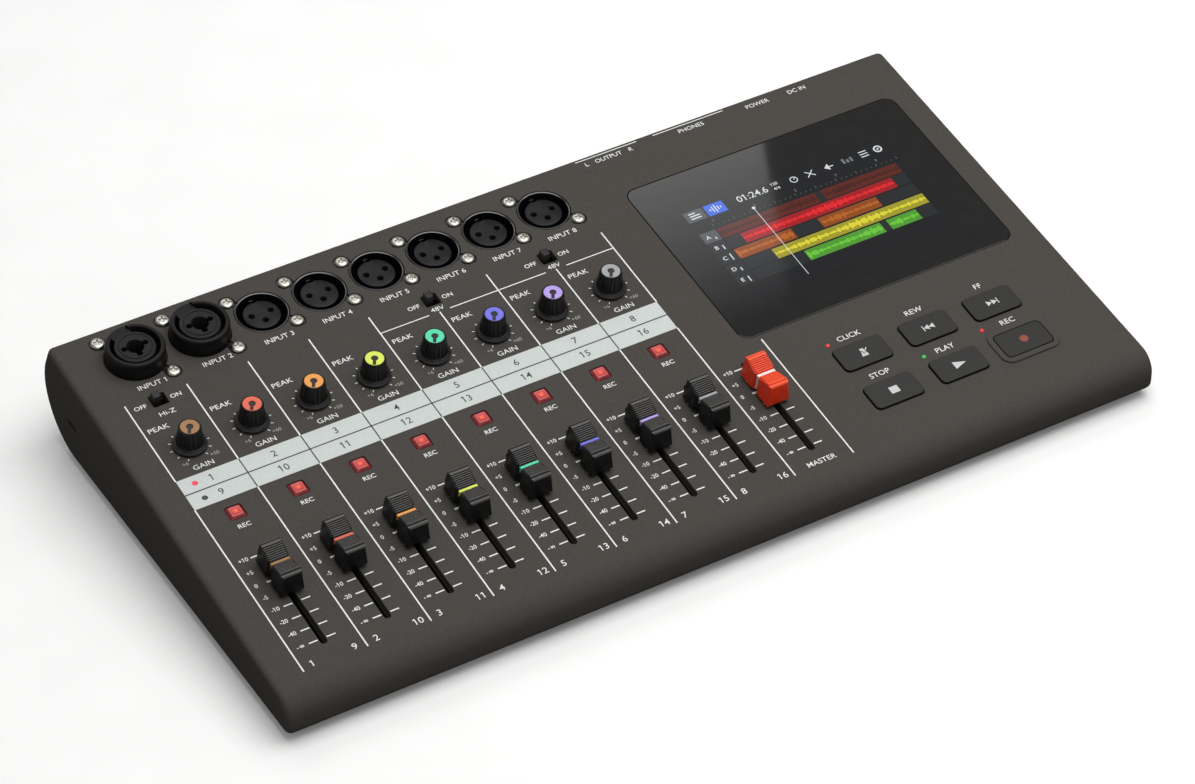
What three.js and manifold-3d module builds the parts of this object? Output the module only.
// A desktop digital multitrack recorder, in millimetres, +Z up, standing on its four feet.
// The origin is on the floor under the middle of its box, +X is to the right, +Y to the back.
// Everything on the sloped control panel is placed in the panel's own frame: x across,
// y up the slope from the lower end of the channel strips, z square out of the panel.
import * as THREE from "three";
import { mergeVertices } from "three/addons/utils/BufferGeometryUtils.js";
import Module from "manifold-3d";

const wasm = await Module();
wasm.setup();

// Clearances shared by all pieces
const gap = 0.3; // between two pieces that touch or slide
const overrun = 1; // how far a cut runs past the face that it opens

// Casing
const caseWidth = 378;
const caseDepth = 202; // front face to the rearmost point of the heel
const rearReach = 4; // how far the headphone knob stands behind the heel
const wall = 2.5;
const panelTilt = THREE.MathUtils.degToRad(8.3);
const stripInset = 11.5; // front face to the lower ends of the channel strips
const stripRise = 17.5; // underside of the case to the panel, at the lower ends of the strips
const sideRadius = 2.5; // rounding where the sides meet everything else
const frontRadius = 9.5; // the rounded front lip
const frontFootRadius = 4;
const heelRadius = 24; // the big curve at the back, from the underside up
const heelRoomShare = 0.95; // of the largest curve that the height of the back has room for
const backInset = 7.5; // how far the panel's back edge lies in front of the heel
const backRadius = 3;
const arcSteps = 5;
const heelSteps = 10;
const holeSteps = 20; // segments round a large hole
const boreSteps = 12; // segments round a bore that a shaft or a plug goes into
const smallSteps = 8; // segments round a small hole or post

// Bottom cover, its bosses and feet
const plateThickness = 2;
const plateMargin = 8; // from the outside of the case to the bottom cover's opening
const plateCorner = 6;
const bossRadius = 3.5;
const bossInset = 10.5; // boss centre to the outside of the case, at the sides
const bossFrontInset = 15.5; // boss centre to the front face
const bossHeelInset = 10; // boss centre to the start of the heel curve
const bossRoom = 1; // round a boss, where a board is cut away for it
const footHeight = 3;
const footRadius = 8;
const footTopRadius = 9;
const footSideInset = 24;
const footFrontInset = 22;
const footHeelInset = 13;

// Channel strips
const channelCount = 8; // fewer where a narrower case has no room for them
const channelPitch = 25.9;
const stripLeftInset = 13; // left side to the first strip's line
const keysWidth = 130; // the least that the strips leave free at the right, for the keys

// Places up the panel, as shares of its length from the lower ends of the strips
const faderLowestShare = 0.0579;
const transportPlaceShare = 0.1071;
const armPlaceShare = 0.425;
const displayPlaceShare = 0.6178;
const knobPlaceShare = 0.6272;
const slidePlaceShare = 0.7678;
const socketPlaceShare = 0.8949;

// Faders
const faderTravel = 45.5;
const faderSteps = 7; // marks are this many equal steps apart
const faderZeroStep = 5; // the step of the zero mark, where the caps stand
const leverLength = 4;
const leverThickness = 1.2;
const leverReach = 5.4; // how deep the lever goes below the top of the panel
const slotWidth = 2.9;
const slotEndRoom = 0.55;
const faderBodyWidth = 8;
const faderBodyMargin = 4.7; // housing beyond each end of its groove
const capLength = 20.5;
const capTopLength = 18.9;
const capWidth = 9.8;
const capTopWidth = 8.2;
const capWaist = 7.6; // width of the cap at its middle valley
const capWaistReach = 5; // half length of the narrowed part
const capLift = 1.6; // room between cap and panel
const capHeight = 11.2;
const capValleyHeight = 9;
const capRidge = 1.5; // flat top of each lobe
const capValleyFlat = 1.8;
const capRibDepth = 0.3;
const capRibCount = 5;

// Gain knobs
const knobSkirtRadius = 6.7;
const knobSkirtTopRadius = 6.2;
const knobSkirtHeight = 1.4;
const knobBodyRadius = 5.2;
const knobTopRadius = 4.3;
const knobHeight = 10.3;
const knobLift = 0.5;
const knobEdge = 0.5; // chamfer at the top
const knobFluteDepth = 0.35;
const knobFlutes = 9;
const knobPointerWidth = 1.4;
const knobPointerDepth = 0.6;
const knobPointerAngle = THREE.MathUtils.degToRad(-150); // the lowest setting, from up the panel
const shaftRadius = 3;
const shaftReach = 6; // how deep the shaft goes below the top of the panel
const potWidth = 10;

// Record-arm buttons
const armSize = 6.4;
const armCorner = 1;
const armHeight = 0.5;
const armTravel = 1;
const flangeThickness = 1.1; // the rim that keeps a button under the panel
const flangeWidth = 1; // beyond the button's sides

// Transport buttons
const transportRightInset = 41; // right side to the centre of the right column
const transportPitchX = 30;
const transportPitchY = 22;
const transportWidth = 21.6;
const transportLength = 12.4;
const transportCorner = 2.2;
const transportHeight = 1;
const transportTravel = 1.2;
const guardWidth = 2.2; // raised ring round the record button
const guardHeight = 0.8;

// Slide switches on the panel
const slideOpening = 6.6;
const slideNubWidth = 3.4;
const slideNubHeight = 3.2;
const slideNubReach = 6; // below the top of the panel
const slideHousing = 9.4;
const phantomStrips = [4, 6]; // each such switch stands between this strip, counted from 0, and the next

// Sockets on the panel
const comboLeftInset = 27.8; // left side to the first combination socket
const comboPitch = 27.3;
const comboRadius = 11.9;
const comboTopRadius = 11.3;
const comboHeight = 7.2;
const comboRoundHeight = 0.7;
const comboGrooveOuter = 9.7;
const comboCoreRadius = 7.6;
const comboGrooveDepth = 9;
const comboBridgeAngle = THREE.MathUtils.degToRad(95); // where the core is joined to the ring
const comboBridgeSpan = THREE.MathUtils.degToRad(40);
const comboEarX = 9.7;
const comboEarY = 12.7;
const jackBoreRadius = 3.3; // a 6.35 mm plug goes in
const trioGap = 26.4; // last combination socket to the first three-pin socket
const trioCount = 6; // fewer where a narrower case has no room for them
const trioPitch = 24.94;
const trioRadius = 10.7;
const trioGrooveOuter = 9.9;
const trioCoreRadius = 7.4;
const trioCoreDrop = 1.7;
const trioGrooveDepth = 13;
const trioKeyWidth = 2;
const trioEarX = 10;
const trioEarY = 10.1;
const contactRadius = 1.25;
const contactSide = 4.2; // the pair of contacts, either side of the middle
const contactUp = 0.7;
const contactDown = 3.3; // the single contact, toward the front
const contactDepth = 8;
const earRadius = 3.2;
const earNeck = 3.4;
const earDrop = 0.4;
const screwRadius = 2.45;
const screwTopRadius = 1.5;
const screwHeight = 1.5;
const socketBodyWidth = 22.6;
const socketBodyLength = 27;
const socketBodyCorner = 3;
const socketDepth = 27;

// Display
const displayWidth = 127.2;
const displayLength = 91.7;
const displayCorner = 5;
const displayRightInset = 11.7;
const glassThickness = 1.3;
const moduleInset = 8; // the display module inside the glass, all round
const moduleThickness = 5;

// Boards
const boardThickness = 1.6;
const controlBoardDepth = 10.3; // panel top to the top of the control board
const controlBoardLow = 4;
const controlBoardRoom = 3; // between its back edge and the input sockets
const controlBoardSide = 17; // from the outside of the case
const mainBoardLift = 4; // above the bottom cover
const mainBoardWidth = 244;
const mainBoardLength = 113;
const mainBoardBackInset = 16; // board's back edge to the back of the heel
const mainBoardSide = 5; // from the outside of the case
const postRadius = 3;
const postSideInset = 20;
const postEndInset = 8;

// Rear connectors, in a shallow bay of the heel
const bayWidth = 125;
const bayRightInset = 31; // right side to the bay's right end
const bayClearance = 15; // bay's left end to the middle of the nearest input socket, at least
const bayDrop = 11.5; // bay's floor below the connectors' middle line
const bayRise = 12; // bay's roof above it
const bayDepth = 7.5; // from the rearmost point of the heel to the bay's wall
const jackRise = 21; // underside of the case to the connectors' middle line
// From the right side to the middle of each
const jackInsets = { output_jack_left: 142.5, output_jack_right: 123.5, phones_jack: 86 };
const jackBushRadius = 5.6;
const jackBushReach = 2.4;
const jackBodyWidth = 15;
const jackBodyHeight = 14;
const jackBodyDepth = 24;
const volumeInset = 103.5; // from the right side
const volumeRadius = 6;
const volumeTopRadius = 5.4;
const volumeLift = 0.8;
const volumeShaftReach = 9;
const powerInset = 63.3; // from the right side
const powerOpeningWidth = 8;
const powerOpeningHeight = 5;
const powerNubWidth = 4.4;
const powerReach = 3;
const powerFlange = 1.5;
const powerPlate = 2;
const powerHousing = 6; // depth of the housing behind the plate
const inletInset = 44.3; // from the right side
const inletBoreRadius = 3.2;
const inletPinRadius = 1;
const inletBushRadius = 4.4;
const inletBushReach = 0.6;
const inletBodyWidth = 10;
const inletBodyHeight = 11;
const inletBodyDepth = 14;

// Right side sockets and the left side's lock slot
const sideSocketGap = 16; // case wall left between the two side sockets
const dataWidth = 9;
const dataHeight = 3.2;
const dataShell = 0.4;
const dataDepth = 8;
const cardInset = 73; // socket's middle to the rearmost point of the heel
const cardWidth = 27;
const cardHeight = 4.2;
const cardShell = 0.7;
const cardDepth = 24;
const sideSocketInset = 0.6; // how far a side socket's mouth lies inside the case side
const lockInset = 25; // from the rearmost point of the heel
const lockRise = 18; // above the underside of the case
const lockWidth = 7;
const lockOpening = 3;

// Places worked out from the sizes above
const caseHalf = caseWidth / 2;
const caseFront = -(caseDepth + rearReach) / 2;
const heelBack = caseFront + caseDepth;
const underside = footHeight;
const panelFoot = underside + stripRise;
const stripFoot = caseFront + stripInset;
const panelSlope = Math.tan(panelTilt);
const panelDepth = caseDepth - backInset - stripInset; // level distance, strips' ends to the back edge
const panelLength = panelDepth / Math.cos(panelTilt);
const backHeight = stripRise + panelDepth * panelSlope; // of the panel's back edge, above the underside
const heelRoom = backInset + backHeight - Math.sqrt(2 * backInset * backHeight);
const heel = Math.min(heelRadius, heelRoomShare * heelRoom);
const heelCentreY = heelBack - heel;
const faderLowest = faderLowestShare * panelLength; // panel place of the lowest mark
const transportPlace = transportPlaceShare * panelLength; // of the lower row
const armPlace = armPlaceShare * panelLength;
const displayY = displayPlaceShare * panelLength;
const knobPlace = knobPlaceShare * panelLength;
const slidePlace = slidePlaceShare * panelLength;
const socketPlace = socketPlaceShare * panelLength;
const controlBoardHigh = socketPlace - socketBodyLength / 2 - controlBoardRoom;
const faderZero = faderLowest + (faderTravel * faderZeroStep) / faderSteps;
const slotLength = faderTravel + leverLength + 2 * slotEndRoom;
const firstLine = stripLeftInset - caseHalf;
const comboFirst = comboLeftInset - caseHalf;
const trioFirst = comboFirst + comboPitch + trioGap;
const transportRight = caseHalf - transportRightInset;
const displayX = caseHalf - displayRightInset - displayWidth / 2;
const jackHeight = underside + jackRise;
const bayWall = heelBack - bayDepth;
const bayRight = caseHalf - bayRightInset;
const bayLeft = bayRight - bayWidth;
const bayLow = jackHeight - bayDrop;
const bayHigh = jackHeight + bayRise;
const volumePlace = caseHalf - volumeInset;
const powerPlace = caseHalf - powerInset;
const inletPlace = caseHalf - inletInset;
const stripsRoom = caseWidth - stripLeftInset - keysWidth;
const channels = Math.min(channelCount, Math.floor(stripsRoom / channelPitch) - 1);
const triosRoom = bayLeft - bayClearance - trioFirst;
const trios = Math.min(trioCount, Math.floor(triosRoom / trioPitch) + 1);
const plateTop = underside + plateThickness;
const mainBoardBottom = plateTop + mainBoardLift;
const mainBoardTop = mainBoardBottom + boardThickness;
const mainBoardRight = caseHalf - mainBoardSide;
const mainBoardBack = heelBack - mainBoardBackInset;
const mainBoardLeft = mainBoardRight - mainBoardWidth;
const mainBoardFront = mainBoardBack - mainBoardLength;
const slideRest = -(slideOpening - slideNubWidth) / 2 + gap;

function channelX(channel) {
  return firstLine + (channel + 0.5) * channelPitch;
}

// Materials
function finish(color, roughness, metalness = 0) {
  return new THREE.MeshStandardMaterial({ color, roughness, metalness, flatShading: true });
}

const darkPaint = finish(0x4b4843, 0.5);
const blackPlastic = finish(0x1b1b1d, 0.45);
const blackRubber = finish(0x161616, 0.9);
const clearRed = finish(0xd23a3a, 0.3);
const buttonGrey = finish(0x38383a, 0.5);
const masterRed = finish(0xe2291a, 0.4);
const darkGlass = finish(0x202124, 0.08);
const displayPanel = finish(0x303438, 0.4);
const boardGreen = finish(0x1f5a3a, 0.6);
const jackMetal = finish(0xb8b8ba, 0.35, 0.9);

// Outlines, as lists of points
function arc(centreX, centreY, radius, from, to, steps) {
  const points = [];
  for (let step = 0; step <= steps; step += 1) {
    const angle = from + ((to - from) * step) / steps;
    const across = centreX + radius * Math.cos(angle);
    const up = centreY + radius * Math.sin(angle);
    points.push(new THREE.Vector2(across, up));
  }
  return points;
}

function circle(radius, steps) {
  return arc(0, 0, radius, 0, 2 * Math.PI * (1 - 1 / steps), steps - 1);
}

function rectangle(width, length) {
  return roundedRectangle(width, length, 0, 0);
}

function roundedRectangle(width, length, radius, steps) {
  const x = width / 2 - radius;
  const y = length / 2 - radius;
  const quarter = Math.PI / 2;
  if (steps === 0) {
    return [
      new THREE.Vector2(x, y),
      new THREE.Vector2(-x, y),
      new THREE.Vector2(-x, -y),
      new THREE.Vector2(x, -y),
    ];
  }
  return [
    ...arc(x, y, radius, 0, quarter, steps),
    ...arc(-x, y, radius, quarter, 2 * quarter, steps),
    ...arc(-x, -y, radius, 2 * quarter, 3 * quarter, steps),
    ...arc(x, -y, radius, 3 * quarter, 4 * quarter, steps),
  ];
}

function stadium(width, length, steps) {
  const end = (length - width) / 2;
  return [
    ...arc(0, end, width / 2, 0, Math.PI, steps),
    ...arc(0, -end, width / 2, Math.PI, 2 * Math.PI, steps),
  ];
}

// Prisms of an outline, along each axis
function alongZ(points, from, to) {
  const shape = new THREE.Shape(points);
  const geometry = new THREE.ExtrudeGeometry(shape, { depth: to - from, bevelEnabled: false });
  return geometry.translate(0, 0, from);
}

function alongX(points, from, to) {
  const right = new THREE.Vector3(1, 0, 0);
  const back = new THREE.Vector3(0, 1, 0);
  const up = new THREE.Vector3(0, 0, 1);
  const turn = new THREE.Matrix4().makeBasis(back, up, right);
  return alongZ(points, from, to).applyMatrix4(turn);
}

function alongY(points, from, to) {
  const right = new THREE.Vector3(1, 0, 0);
  const front = new THREE.Vector3(0, -1, 0);
  const up = new THREE.Vector3(0, 0, 1);
  const turn = new THREE.Matrix4().makeBasis(right, up, front);
  return alongZ(points, -to, -from).applyMatrix4(turn);
}

// Closed meshes to solids and back
function solid(geometry) {
  const bare = geometry.clone();
  bare.deleteAttribute("normal");
  bare.deleteAttribute("uv");
  const merged = mergeVertices(bare);
  const mesh = new wasm.Mesh({
    numProp: 3,
    vertProperties: new Float32Array(merged.attributes.position.array),
    triVerts: new Uint32Array(merged.index.array),
  });
  return new wasm.Manifold(mesh);
}

function join(...solids) {
  return solids.reduce((whole, piece) => whole.add(piece));
}

function cut(whole, ...cutters) {
  return cutters.reduce((left, cutter) => left.subtract(cutter), whole);
}

function geometryOf(manifold) {
  const mesh = manifold.getMesh();
  const geometry = new THREE.BufferGeometry();
  geometry.setAttribute("position", new THREE.BufferAttribute(mesh.vertProperties, 3));
  geometry.setIndex(new THREE.BufferAttribute(mesh.triVerts, 1));
  geometry.computeVertexNormals();
  return geometry;
}

// The object and the frame of its control panel
const recorder = new THREE.Group();
const panel = new THREE.Group();
panel.position.set(0, stripFoot, panelFoot);
panel.rotation.x = panelTilt;
panel.updateMatrix();
recorder.add(panel);

function place(group, name, geometry, material, x = 0, y = 0, z = 0) {
  const mesh = new THREE.Mesh(geometry, material);
  mesh.name = name;
  mesh.position.set(x, y, z);
  group.add(mesh);
  return mesh;
}

// A cutter or block that is described in the panel's frame, moved into the object's
function onPanel(geometry) {
  return solid(geometry.applyMatrix4(panel.matrix));
}

// Side outline of the case, drawn in by a margin: the outside at zero, the hollow at one wall
function caseOutline(margin) {
  const front = caseFront + margin;
  const bottom = underside + margin;
  const toeHere = frontFootRadius - margin;
  const lipRadius = frontRadius - margin;
  const heelHere = heel - margin;
  const panelHeightAt = (y) => panelFoot + (y - stripFoot) * panelSlope - margin / Math.cos(panelTilt);
  const lipY = front + lipRadius;
  const lipZ = panelHeightAt(lipY) - lipRadius / Math.cos(panelTilt);
  const heelZ = bottom + heelHere;
  const edgeY = heelBack - backInset;
  const edgeZ = panelFoot + (edgeY - stripFoot) * panelSlope;
  const reach = Math.hypot(edgeY - heelCentreY, edgeZ - heelZ);
  const backAngle = Math.atan2(edgeZ - heelZ, edgeY - heelCentreY) - Math.acos(heel / reach);
  const edge = roundedBack(panelHeightAt, heelZ, heelHere, backAngle, margin);
  return [
    ...arc(lipY, lipZ, lipRadius, Math.PI / 2 + panelTilt, Math.PI, arcSteps),
    ...arc(front + toeHere, bottom + toeHere, toeHere, Math.PI, 1.5 * Math.PI, arcSteps),
    ...arc(heelCentreY, heelZ, heelHere, -Math.PI / 2, backAngle, heelSteps),
    ...edge,
  ];
}

// The rounded corner where the panel meets the leaning back
function roundedBack(panelHeightAt, heelZ, heelHere, backAngle, margin) {
  const radius = Math.max(backRadius - margin, backRadius / 4);
  const offset = heelHere - radius;
  const alongBack = (step) => ({
    y: heelCentreY + offset * Math.cos(backAngle) - step * Math.sin(backAngle),
    z: heelZ + offset * Math.sin(backAngle) + step * Math.cos(backAngle),
  });
  const roof = (y) => panelHeightAt(y) - radius / Math.cos(panelTilt);
  const start = alongBack(0);
  const rise = Math.cos(backAngle) + Math.sin(backAngle) * panelSlope;
  const step = (roof(start.y) - start.z) / rise;
  const centre = alongBack(step);
  return arc(centre.y, centre.z, radius, backAngle, Math.PI / 2 + panelTilt, arcSteps);
}

// Top cover: the whole outer shell, open underneath
function topCover() {
  const rounded = new THREE.ExtrudeGeometry(new THREE.Shape(caseOutline(0)), {
    depth: caseWidth - 2 * sideRadius,
    bevelThickness: sideRadius,
    bevelSize: sideRadius,
    bevelOffset: -sideRadius,
    bevelSegments: 3,
  });
  const right = new THREE.Vector3(1, 0, 0);
  const back = new THREE.Vector3(0, 1, 0);
  const up = new THREE.Vector3(0, 0, 1);
  rounded.applyMatrix4(new THREE.Matrix4().makeBasis(back, up, right));
  rounded.translate(sideRadius - caseHalf, 0, 0);
  const outside = solid(rounded);
  const bay = solid(bayBlock(0, heelBack + overrun));
  const hollow = solid(alongX(caseOutline(wall), wall - caseHalf, caseHalf - wall));
  const roomAtBay = solid(bayBlock(wall, heelBack + overrun).translate(0, -wall, 0));
  const shell = cut(outside, cut(hollow, roomAtBay), bay, solid(plateBlock(0, underside - overrun)));
  const guard = onPanel(
    alongZ(
      roundedRectangle(
        transportWidth + 2 * (gap + guardWidth),
        transportLength + 2 * (gap + guardWidth),
        transportCorner + guardWidth,
        3,
      ),
      -wall,
      guardHeight,
    ).translate(transportRight, transportPlace, 0),
  );
  return cut(join(shell, bosses(outside), guard), ...panelHoles(), ...wallHoles());
}

// The block of the rear bay, grown by a margin
function bayBlock(margin, back) {
  const width = bayRight - bayLeft + 2 * margin;
  const height = bayHigh - bayLow + 2 * margin;
  const outline = roundedRectangle(width, height, margin + wall, 2);
  return alongY(outline, bayWall, back).translate((bayLeft + bayRight) / 2, 0, (bayLow + bayHigh) / 2);
}

// The block of the bottom cover's opening, or of the cover itself with a gap all round
function plateBlock(clearance, low) {
  const width = caseWidth - 2 * (plateMargin + clearance);
  const front = caseFront + plateMargin + clearance;
  const back = heelCentreY - clearance;
  const outline = roundedRectangle(width, back - front, plateCorner, 3);
  const top = clearance > 0 ? plateTop : underside + wall + overrun;
  return alongZ(outline, low, top).translate(0, (front + back) / 2, 0);
}

// The four screw bosses that hang from the panel down to the bottom cover
function pillars(radius, low, high) {
  const list = [];
  for (const x of [bossInset - caseHalf, caseHalf - bossInset]) {
    for (const y of [caseFront + bossFrontInset, heelCentreY - bossHeelInset]) {
      list.push(solid(alongZ(circle(radius, smallSteps), low, high).translate(x, y, 0)));
    }
  }
  return list;
}

function bosses(outside) {
  const high = panelFoot + caseDepth;
  const capped = solid(alongX(caseOutline(wall / 2), wall - caseHalf, caseHalf - wall));
  return join(...pillars(bossRadius, plateTop + gap, high)).intersect(capped).intersect(outside);
}

function throughPanel(points, x, y) {
  return onPanel(alongZ(points, -wall - overrun, transportHeight + overrun).translate(x, y, 0));
}

// Every opening in the panel, each one gap larger than what it lets through
function panelHoles() {
  const holes = [];
  for (let channel = 0; channel <= channels; channel += 1) {
    const slotMiddle = faderLowest + faderTravel / 2;
    holes.push(throughPanel(stadium(slotWidth, slotLength, 4), channelX(channel), slotMiddle));
  }
  for (let channel = 0; channel < channels; channel += 1) {
    const x = channelX(channel);
    const armOpening = armSize + 2 * gap;
    holes.push(throughPanel(circle(shaftRadius + gap, boreSteps), x, knobPlace));
    holes.push(throughPanel(roundedRectangle(armOpening, armOpening, armCorner, 2), x, armPlace));
  }
  for (const { x, y } of transportPlaces()) {
    const width = transportWidth + 2 * gap;
    const length = transportLength + 2 * gap;
    holes.push(throughPanel(roundedRectangle(width, length, transportCorner, 3), x, y));
  }
  for (const x of Object.values(slideSwitchPlaces())) {
    holes.push(throughPanel(rectangle(slideOpening, slideOpening), x, slidePlace));
  }
  for (const socket of sockets()) {
    const opening = socketRim(socket, gap, -wall - gap - 2 * overrun, overrun);
    holes.push(onPanel(geometryOf(opening).translate(socket.x, socketPlace, 0)));
  }
  const pocket = roundedRectangle(displayWidth, displayLength, displayCorner, 4);
  const window = rectangle(displayWidth - 2 * moduleInset, displayLength - 2 * moduleInset);
  holes.push(onPanel(alongZ(pocket, -glassThickness - gap, overrun).translate(displayX, displayY, 0)));
  holes.push(throughPanel(window, displayX, displayY));
  return holes;
}

// Openings in the rear bay and in the two sides
function wallHoles() {
  const holes = [];
  const inside = bayWall - wall - overrun;
  const outside = bayWall + overrun;
  for (const inset of Object.values(jackInsets)) {
    const hole = alongY(circle(jackBushRadius + gap, holeSteps), inside, outside);
    holes.push(solid(hole.translate(caseHalf - inset, 0, jackHeight)));
  }
  const shaftHole = alongY(circle(shaftRadius + gap, boreSteps), inside, outside);
  const inletHole = alongY(circle(inletBushRadius + gap, holeSteps), inside, outside);
  const powerHole = alongY(rectangle(powerOpeningWidth, powerOpeningHeight), inside, outside);
  holes.push(solid(shaftHole.translate(volumePlace, 0, jackHeight)));
  holes.push(solid(inletHole.translate(inletPlace, 0, jackHeight)));
  holes.push(solid(powerHole.translate(powerPlace, 0, jackHeight)));
  for (const side of sideSockets()) {
    const outline = rectangle(side.width + 2 * gap, side.height + 2 * gap);
    const hole = alongX(outline, caseHalf - wall - overrun, caseHalf + overrun);
    holes.push(solid(hole.translate(0, side.y, side.z)));
  }
  const lock = alongX(rectangle(lockWidth, lockOpening), -caseHalf - overrun, wall + overrun - caseHalf);
  holes.push(solid(lock.translate(0, heelBack - lockInset, underside + lockRise)));
  return holes;
}

// Bottom cover and feet
function bottomCover() {
  return geometryOf(solid(plateBlock(gap, underside)));
}

function foot() {
  const profile = [
    new THREE.Vector2(0, 0),
    new THREE.Vector2(footRadius, 0),
    new THREE.Vector2(footTopRadius, footHeight),
    new THREE.Vector2(0, footHeight),
  ];
  return new THREE.LatheGeometry(profile, holeSteps).rotateX(Math.PI / 2);
}

// One fader cap: two lobes with ribbed slopes down to a valley, on a thin lever
function faderCap() {
  const side = alongX(capSideOutline(), -capWidth, capWidth);
  const drafted = alongY(
    [
      new THREE.Vector2(capWidth / 2, capLift),
      new THREE.Vector2(capTopWidth / 2, capHeight + gap),
      new THREE.Vector2(-capTopWidth / 2, capHeight + gap),
      new THREE.Vector2(-capWidth / 2, capLift),
    ],
    -capLength,
    capLength,
  );
  const waisted = alongZ(
    [
      new THREE.Vector2(capWidth / 2, capLength),
      new THREE.Vector2(-capWidth / 2, capLength),
      new THREE.Vector2(-capWidth / 2, capWaistReach),
      new THREE.Vector2(-capWaist / 2, 0),
      new THREE.Vector2(-capWidth / 2, -capWaistReach),
      new THREE.Vector2(-capWidth / 2, -capLength),
      new THREE.Vector2(capWidth / 2, -capLength),
      new THREE.Vector2(capWidth / 2, -capWaistReach),
      new THREE.Vector2(capWaist / 2, 0),
      new THREE.Vector2(capWidth / 2, capWaistReach),
    ],
    0,
    capHeight + overrun,
  );
  const lever = alongZ(rectangle(leverThickness, leverLength), -leverReach, capLift + overrun);
  return solid(side).intersect(solid(drafted)).intersect(solid(waisted)).add(solid(lever));
}

// Seen from the side: up one end, over its lobe, down to the valley and the same beyond
function capSideOutline() {
  const half = [new THREE.Vector2(capLength / 2, capLift), new THREE.Vector2(capTopLength / 2, capHeight)];
  const ridge = new THREE.Vector2(capTopLength / 2 - capRidge, capHeight);
  const valley = new THREE.Vector2(capValleyFlat / 2, capValleyHeight);
  for (let rib = 0; rib < capRibCount; rib += 1) {
    const top = ridge.clone().lerp(valley, rib / capRibCount);
    const next = ridge.clone().lerp(valley, (rib + 1) / capRibCount);
    half.push(top, new THREE.Vector2(next.x, next.y - capRibDepth));
  }
  half.push(valley);
  const mirrored = half.map((point) => new THREE.Vector2(-point.x, point.y)).reverse();
  return [...half, ...mirrored];
}

// A solid turned from rings of equal step, some of them fluted, closed at both ends
function turned(rings, steps) {
  const points = [];
  for (const { height, radius, flute = 0 } of rings) {
    for (let step = 0; step < steps; step += 1) {
      const angle = (2 * Math.PI * step) / steps;
      const here = step % 2 === 0 ? radius : radius - flute;
      points.push(here * Math.cos(angle), here * Math.sin(angle), height);
    }
  }
  const low = points.length / 3;
  points.push(0, 0, rings[0].height, 0, 0, rings[rings.length - 1].height);
  const faces = [];
  for (let ring = 0; ring < rings.length - 1; ring += 1) {
    for (let step = 0; step < steps; step += 1) {
      const a = ring * steps + step;
      const b = ring * steps + ((step + 1) % steps);
      faces.push(a, b, b + steps, a, b + steps, a + steps);
    }
  }
  const last = (rings.length - 1) * steps;
  for (let step = 0; step < steps; step += 1) {
    const next = (step + 1) % steps;
    faces.push(low, next, step, low + 1, last + step, last + next);
  }
  const geometry = new THREE.BufferGeometry();
  geometry.setAttribute("position", new THREE.Float32BufferAttribute(points, 3));
  geometry.setIndex(faces);
  return geometry;
}

function wedgePointer(radius, top) {
  const slot = alongZ(rectangle(knobPointerWidth, radius), top - knobPointerDepth, top + overrun);
  return solid(slot.translate(0, radius / 2, 0).rotateZ(-knobPointerAngle));
}

// Gain knob on its shaft: a plain skirt below a fluted, tapered body
function gainKnob() {
  const skirtTop = knobLift + knobSkirtHeight;
  const rings = [
    { height: -shaftReach, radius: shaftRadius },
    { height: knobLift, radius: shaftRadius },
    { height: knobLift, radius: knobSkirtRadius },
    { height: knobLift + knobSkirtHeight / 2, radius: knobSkirtRadius },
    { height: skirtTop, radius: knobSkirtTopRadius },
    { height: skirtTop, radius: knobBodyRadius, flute: knobFluteDepth },
    { height: knobHeight - knobEdge, radius: knobTopRadius, flute: knobFluteDepth },
    { height: knobHeight, radius: knobTopRadius - knobEdge },
  ];
  return cut(solid(turned(rings, 2 * knobFlutes)), wedgePointer(knobTopRadius, knobHeight));
}

// A button that shows through the panel and is kept in by a rim below it
function pushButton(width, length, corner, height) {
  const top = alongZ(roundedRectangle(width, length, corner, 2), -wall - gap - flangeThickness, height);
  const rim = alongZ(
    rectangle(width + 2 * flangeWidth, length + 2 * flangeWidth),
    -wall - gap - flangeThickness,
    -wall - gap,
  );
  return geometryOf(join(solid(top), solid(rim)));
}

function transportPlaces() {
  const places = [];
  const names = [
    ["stop_button", "play_button", "record_button"],
    ["click_button", "rewind_button", "fast_forward_button"],
  ];
  for (const [row, line] of names.entries()) {
    for (const [column, name] of line.entries()) {
      const x = transportRight - (line.length - 1 - column) * transportPitchX;
      places.push({ name, x, y: transportPlace + row * transportPitchY });
    }
  }
  return places;
}

// Slide switches: one on the first strip, and one between each pair of strips with phantom power
function slideSwitchPlaces() {
  const places = { high_impedance_switch: channelX(0) };
  for (const strip of phantomStrips.filter((left) => left + 1 < channels)) {
    places[`phantom_switch_${strip + 1}_${strip + 2}`] = channelX(strip) + channelPitch / 2;
  }
  return places;
}

// The two kinds of input socket
function sockets() {
  const list = [];
  for (let index = 0; index < 2; index += 1) {
    const name = `combo_socket_${index + 1}`;
    list.push({
      name,
      x: comboFirst + index * comboPitch,
      radius: comboRadius,
      earX: comboEarX,
      earY: comboEarY,
      build: comboSocket,
    });
  }
  for (let index = 0; index < trios; index += 1) {
    const name = `three_pin_socket_${index + 3}`;
    list.push({
      name,
      x: trioFirst + index * trioPitch,
      radius: trioRadius,
      earX: trioEarX,
      earY: trioEarY,
      build: trioSocket,
    });
  }
  return list;
}

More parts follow.
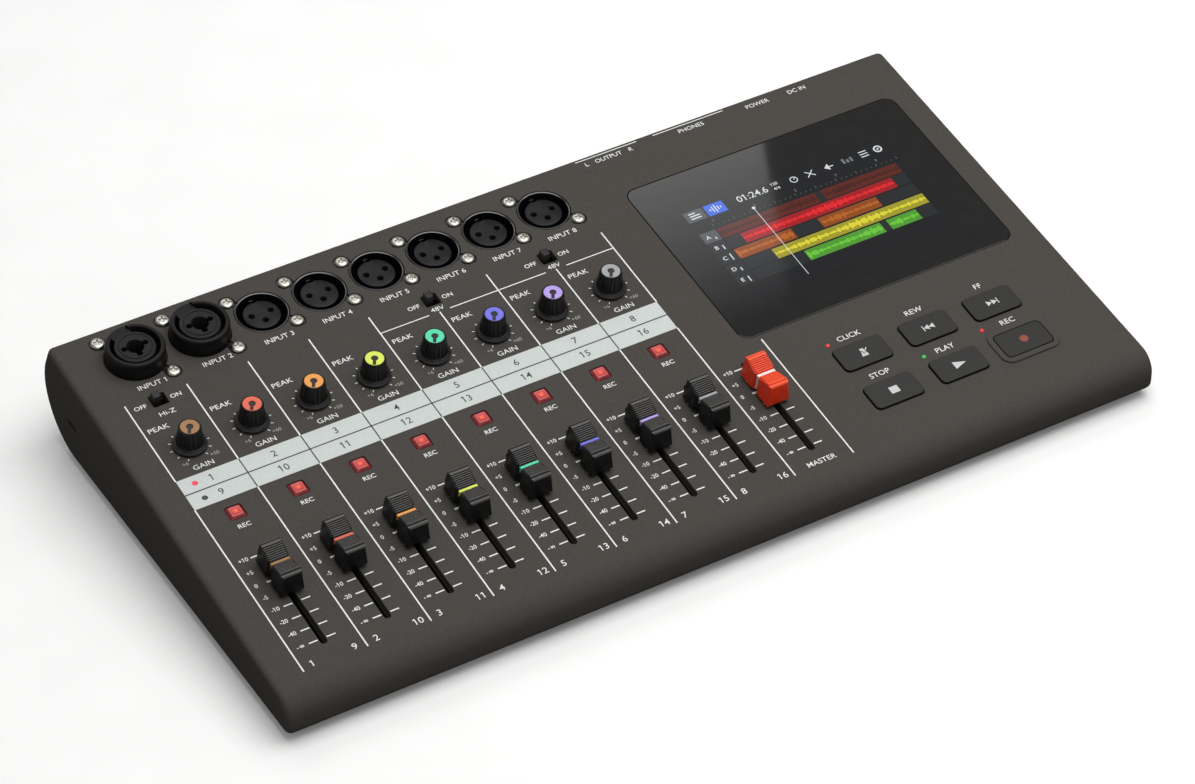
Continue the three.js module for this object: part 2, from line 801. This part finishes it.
// The round rim and two screw ears of a socket, grown by a clearance
function socketRim({ radius, earX, earY }, clearance, low, high) {
  const ring = solid(alongZ(circle(radius + clearance, holeSteps), low, high));
  const pieces = [ring];
  for (const side of [-1, 1]) {
    const x = side * earX;
    const y = -side * earY;
    const neck = alongZ(rectangle(earNeck + 2 * clearance, Math.hypot(x, y)), low, high);
    neck.translate(0, Math.hypot(x, y) / 2, 0).rotateZ(Math.atan2(-x, y));
    pieces.push(solid(neck));
    pieces.push(solid(alongZ(circle(earRadius + clearance, smallSteps), low, high).translate(x, y, 0)));
  }
  return join(...pieces);
}

// What both sockets share: the body under the panel, the ears and their two screws
function socketBase(socket) {
  const flangeTop = -wall - gap;
  const body = solid(
    alongZ(
      roundedRectangle(socketBodyWidth, socketBodyLength, socketBodyCorner, 2),
      -socketDepth,
      flangeTop,
    ),
  );
  const pieces = [body, socketRim(socket, 0, flangeTop - overrun, -earDrop)];
  for (const side of [-1, 1]) {
    const head = turned(
      [
        { height: -earDrop - overrun, radius: screwRadius },
        { height: screwHeight / 2 - earDrop, radius: screwRadius },
        { height: screwHeight - earDrop, radius: screwTopRadius },
      ],
      smallSteps,
    );
    pieces.push(solid(head.translate(side * socket.earX, -side * socket.earY, 0)));
  }
  return join(...pieces);
}

function contactHoles(top) {
  const places = [
    [-contactSide, contactUp],
    [contactSide, contactUp],
    [0, -contactDown],
  ];
  return places.map(([x, y]) =>
    solid(alongZ(circle(contactRadius, smallSteps), top - contactDepth, top + overrun).translate(x, y, 0)),
  );
}

// Combination socket: a proud ring round a core that takes a phone plug or a three-pin plug
function comboSocket(socket) {
  const ring = turned(
    [
      { height: -wall - overrun, radius: comboRadius },
      { height: 0, radius: comboRadius },
      { height: comboHeight - comboRoundHeight, radius: comboTopRadius },
      { height: comboHeight, radius: comboTopRadius - comboRoundHeight },
    ],
    holeSteps,
  );
  const halfBridge = comboBridgeSpan / 2;
  const from = comboBridgeAngle + halfBridge;
  const to = comboBridgeAngle - halfBridge + 2 * Math.PI;
  const groove = alongZ(
    [
      ...arc(0, 0, comboGrooveOuter, from, to, holeSteps),
      ...arc(0, 0, comboCoreRadius, to, from, holeSteps),
    ],
    comboHeight - comboGrooveDepth,
    comboHeight + overrun,
  );
  const bore = alongZ(circle(jackBoreRadius, boreSteps), wall - socketDepth, comboHeight + overrun);
  const neck = alongZ(
    rectangle(2 * contactSide, contactRadius),
    comboHeight - contactDepth,
    comboHeight + overrun,
  ).translate(0, contactUp, 0);
  return cut(
    join(socketBase(socket), solid(ring)),
    solid(groove),
    solid(bore),
    solid(neck),
    ...contactHoles(comboHeight),
  );
}

// Three-pin socket, flush with the panel
function trioSocket(socket) {
  const ring = solid(alongZ(circle(trioRadius, holeSteps), -wall - overrun, 0));
  const groove = cut(
    solid(alongZ(circle(trioGrooveOuter, holeSteps), -trioGrooveDepth, overrun)),
    solid(alongZ(circle(trioCoreRadius, holeSteps), -trioGrooveDepth - overrun, 2 * overrun)),
    solid(
      alongZ(
        rectangle(trioKeyWidth, trioGrooveOuter),
        -trioGrooveDepth - overrun,
        -trioCoreDrop - overrun,
      ).translate(0, trioGrooveOuter / 2 + overrun, 0),
    ),
  );
  const drop = solid(alongZ(circle(trioCoreRadius + gap, holeSteps), -trioCoreDrop, overrun));
  return cut(join(socketBase(socket), ring), groove, drop, ...contactHoles(-trioCoreDrop));
}

// Display glass in its pocket and the module that it covers
function displayGlass() {
  const outline = roundedRectangle(displayWidth - 2 * gap, displayLength - 2 * gap, displayCorner - gap, 4);
  return alongZ(outline, -glassThickness, 0);
}

function displayModule() {
  const inset = moduleInset + gap;
  const outline = rectangle(displayWidth - 2 * inset, displayLength - 2 * inset);
  return alongZ(outline, -glassThickness - gap - moduleThickness, -glassThickness - gap);
}

// Control board with the housings of all faders, knobs, buttons and slide switches
function controlBoard() {
  const low = -controlBoardDepth - boardThickness;
  const width = caseWidth - 2 * controlBoardSide;
  const length = controlBoardHigh - controlBoardLow;
  const top = -wall - gap;
  const sheet = alongZ(rectangle(width, length), low, -controlBoardDepth);
  const pieces = [solid(sheet.translate(0, (controlBoardLow + controlBoardHigh) / 2, 0))];
  const grooves = [];
  const block = (outline, high, x, y) => {
    pieces.push(solid(alongZ(outline, low, high).translate(x, y, 0)));
  };
  const hollow = (outline, depth, x, y) => {
    grooves.push(solid(alongZ(outline, depth, top + overrun).translate(x, y, 0)));
  };
  const armSwitchTop = top - flangeThickness - armTravel - gap;
  const transportSwitchTop = top - flangeThickness - transportTravel - gap;
  const slotMiddle = faderLowest + faderTravel / 2;
  for (let channel = 0; channel <= channels; channel += 1) {
    const x = channelX(channel);
    block(rectangle(faderBodyWidth, slotLength + 2 * faderBodyMargin), top, x, slotMiddle);
    hollow(rectangle(leverThickness + 2 * gap, slotLength), -leverReach - gap, x, slotMiddle);
  }
  for (let channel = 0; channel < channels; channel += 1) {
    const x = channelX(channel);
    block(rectangle(potWidth, potWidth), top, x, knobPlace);
    hollow(circle(shaftRadius + gap, boreSteps), -shaftReach - gap, x, knobPlace);
    const armRim = armSize + 2 * (flangeWidth + gap);
    block(rectangle(armSize, armSize), armSwitchTop, x, armPlace);
    hollow(rectangle(armRim, armRim), armSwitchTop, x, armPlace);
  }
  for (const { x, y } of transportPlaces()) {
    block(rectangle(armSize, armSize), transportSwitchTop, x, y);
  }
  for (const x of Object.values(slideSwitchPlaces())) {
    block(rectangle(slideHousing, slideHousing), top, x, slidePlace);
    hollow(rectangle(slideOpening, slideNubWidth + 2 * gap), -slideNubReach - gap, x, slidePlace);
  }
  return geometryOf(cut(join(...pieces), ...grooves));
}

// Main board on four posts, with the headphone volume control's housing
function mainBoard() {
  const width = mainBoardRight - mainBoardLeft;
  const length = mainBoardBack - mainBoardFront;
  const middleX = (mainBoardLeft + mainBoardRight) / 2;
  const middleY = (mainBoardFront + mainBoardBack) / 2;
  const sheet = alongZ(rectangle(width, length), mainBoardBottom, mainBoardTop);
  const pieces = [solid(sheet.translate(middleX, middleY, 0))];
  for (const x of [mainBoardLeft + postSideInset, mainBoardRight - postSideInset]) {
    for (const y of [mainBoardFront + postEndInset, heelCentreY - postEndInset]) {
      const post = alongZ(circle(postRadius, smallSteps), plateTop + gap, mainBoardTop);
      pieces.push(solid(post.translate(x, y, 0)));
    }
  }
  const notches = pillars(bossRadius + bossRoom, plateTop, mainBoardTop + overrun);
  const potBack = bayWall - wall - volumeShaftReach / 2;
  const pot = alongZ(rectangle(potWidth, potWidth), mainBoardBottom, jackHeight + potWidth / 2);
  pieces.push(solid(pot.translate(volumePlace, mainBoardBack - potWidth / 2, 0)));
  const neck = alongY(rectangle(potWidth, potWidth), mainBoardBack - potWidth, potBack);
  pieces.push(solid(neck.translate(volumePlace, 0, jackHeight)));
  const switchBack = bayWall - wall - 2 * gap - powerPlate;
  const powerHeight = jackHeight + powerOpeningHeight / 2;
  const powerWidth = powerOpeningWidth + 2 * powerFlange;
  const housing = alongZ(rectangle(powerWidth, powerHousing), mainBoardBottom, powerHeight);
  pieces.push(solid(housing.translate(powerPlace, switchBack - powerHousing / 2, 0)));
  const shaftEnd = bayWall - wall - volumeShaftReach - gap;
  const bore = alongY(circle(shaftRadius + gap, boreSteps), shaftEnd, bayWall);
  const board = cut(join(...pieces), ...notches, solid(bore.translate(volumePlace, 0, jackHeight)));
  return geometryOf(board);
}

// Rear connectors, each drawn round its own axis
function phoneJack() {
  const inside = bayWall - wall - gap;
  const back = inside - jackBodyDepth;
  const body = alongY(rectangle(jackBodyWidth, jackBodyHeight), back, inside);
  const bush = alongY(circle(jackBushRadius, holeSteps), inside - overrun, bayWall + jackBushReach);
  const bore = alongY(circle(jackBoreRadius, boreSteps), back + wall, bayWall + jackBushReach + overrun);
  return geometryOf(cut(join(solid(body), solid(bush)), solid(bore)));
}

function powerInlet() {
  const inside = bayWall - wall - gap;
  const back = inside - inletBodyDepth;
  const mouth = bayWall + inletBushReach;
  const body = alongY(rectangle(inletBodyWidth, inletBodyHeight), back, inside);
  const bush = alongY(circle(inletBushRadius, holeSteps), inside - overrun, mouth);
  const bore = alongY(circle(inletBoreRadius, boreSteps), back + wall, mouth + overrun);
  const pin = alongY(circle(inletPinRadius, smallSteps), back + wall - overrun, mouth - overrun);
  return geometryOf(join(cut(join(solid(body), solid(bush)), solid(bore)), solid(pin)));
}

function volumeKnob() {
  const inside = bayWall - wall;
  const rings = [
    { height: inside - volumeShaftReach, radius: shaftRadius },
    { height: bayWall + volumeLift, radius: shaftRadius },
    { height: bayWall + volumeLift, radius: volumeRadius, flute: knobFluteDepth },
    { height: heelBack + rearReach - knobEdge, radius: volumeTopRadius, flute: knobFluteDepth },
    { height: heelBack + rearReach, radius: volumeTopRadius - knobEdge },
  ];
  return turned(rings, 2 * knobFlutes).rotateX(-Math.PI / 2);
}

function powerSwitch() {
  const height = powerOpeningHeight - 2 * gap;
  const plateHeight = powerOpeningHeight + 2 * powerFlange;
  const plateWidth = powerOpeningWidth + 2 * powerFlange;
  const inside = bayWall - wall - gap;
  const nub = alongY(rectangle(powerNubWidth, height), inside - powerPlate, bayWall + powerReach);
  const plate = alongY(rectangle(plateWidth, plateHeight), inside - powerPlate, inside);
  return geometryOf(join(solid(nub), solid(plate)));
}

// Sockets that open through the right side, standing on the main board
function sideSockets() {
  const rest = mainBoardTop + gap;
  const cardPlace = heelBack - cardInset;
  return [
    {
      name: "data_socket",
      y: cardPlace - (cardWidth + dataWidth) / 2 - sideSocketGap,
      z: rest + dataHeight / 2,
      width: dataWidth,
      height: dataHeight,
      shell: dataShell,
      depth: dataDepth,
    },
    {
      name: "card_socket",
      y: cardPlace,
      z: rest + cardHeight / 2,
      width: cardWidth,
      height: cardHeight,
      shell: cardShell,
      depth: cardDepth,
    },
  ];
}

function sideSocket({ width, height, shell, depth }) {
  const mouth = caseHalf - sideSocketInset;
  const body = alongX(rectangle(width, height), mouth - depth, mouth);
  const room = rectangle(width - 2 * shell, height - 2 * shell);
  return geometryOf(cut(solid(body), solid(alongX(room, mouth - depth + shell, mouth + overrun))));
}

// Assembly: the fixed pieces
place(recorder, "top_cover", geometryOf(topCover()), darkPaint);
place(recorder, "bottom_cover", bottomCover(), darkPaint);
const footLines = { front: caseFront + footFrontInset, back: heelCentreY - footHeelInset };
const footColumns = { left: footSideInset - caseHalf, right: caseHalf - footSideInset };
for (const [end, y] of Object.entries(footLines)) {
  for (const [side, x] of Object.entries(footColumns)) {
    place(recorder, `foot_${end}_${side}`, foot(), blackRubber, x, y);
  }
}
place(recorder, "main_board", mainBoard(), boardGreen);
place(panel, "control_board", controlBoard(), boardGreen);
place(panel, "display_glass", displayGlass(), darkGlass, displayX, displayY);
place(panel, "display_module", displayModule(), displayPanel, displayX, displayY);
for (const socket of sockets()) {
  place(panel, socket.name, geometryOf(socket.build(socket)), blackPlastic, socket.x, socketPlace);
}
for (const [name, inset] of Object.entries(jackInsets)) {
  place(recorder, name, phoneJack(), blackPlastic, caseHalf - inset, 0, jackHeight);
}
place(recorder, "power_inlet", powerInlet(), blackPlastic, inletPlace, 0, jackHeight);
for (const side of sideSockets()) {
  place(recorder, side.name, sideSocket(side), jackMetal, 0, side.y, side.z);
}

// Assembly: the pieces that move
const capGeometry = geometryOf(faderCap());
const knobGeometry = geometryOf(gainKnob());
const armGeometry = pushButton(armSize, armSize, armCorner, armHeight);
const transportGeometry = pushButton(transportWidth, transportLength, transportCorner, transportHeight);
const nubGeometry = alongZ(rectangle(slideNubWidth, slideNubWidth), -slideNubReach, slideNubHeight);
for (let channel = 0; channel < channels; channel += 1) {
  const x = channelX(channel);
  const number = channel + 1;
  place(panel, `fader_cap_${number}`, capGeometry, blackPlastic, x, faderZero);
  place(panel, `gain_knob_${number}`, knobGeometry, blackPlastic, x, knobPlace);
  place(panel, `arm_button_${number}`, armGeometry, clearRed, x, armPlace);
}
place(panel, "fader_cap_master", capGeometry, masterRed, channelX(channels), faderZero);
for (const { name, x, y } of transportPlaces()) {
  place(panel, name, transportGeometry, buttonGrey, x, y);
}
for (const [name, x] of Object.entries(slideSwitchPlaces())) {
  place(panel, name, nubGeometry, blackPlastic, x + slideRest, slidePlace);
}
const powerRest = -(powerOpeningWidth - powerNubWidth) / 2 + gap;
place(recorder, "phones_volume_knob", volumeKnob(), blackPlastic, volumePlace, 0, jackHeight);
place(recorder, "power_switch", powerSwitch(), blackPlastic, powerPlace + powerRest, 0, jackHeight);

export default recorder;
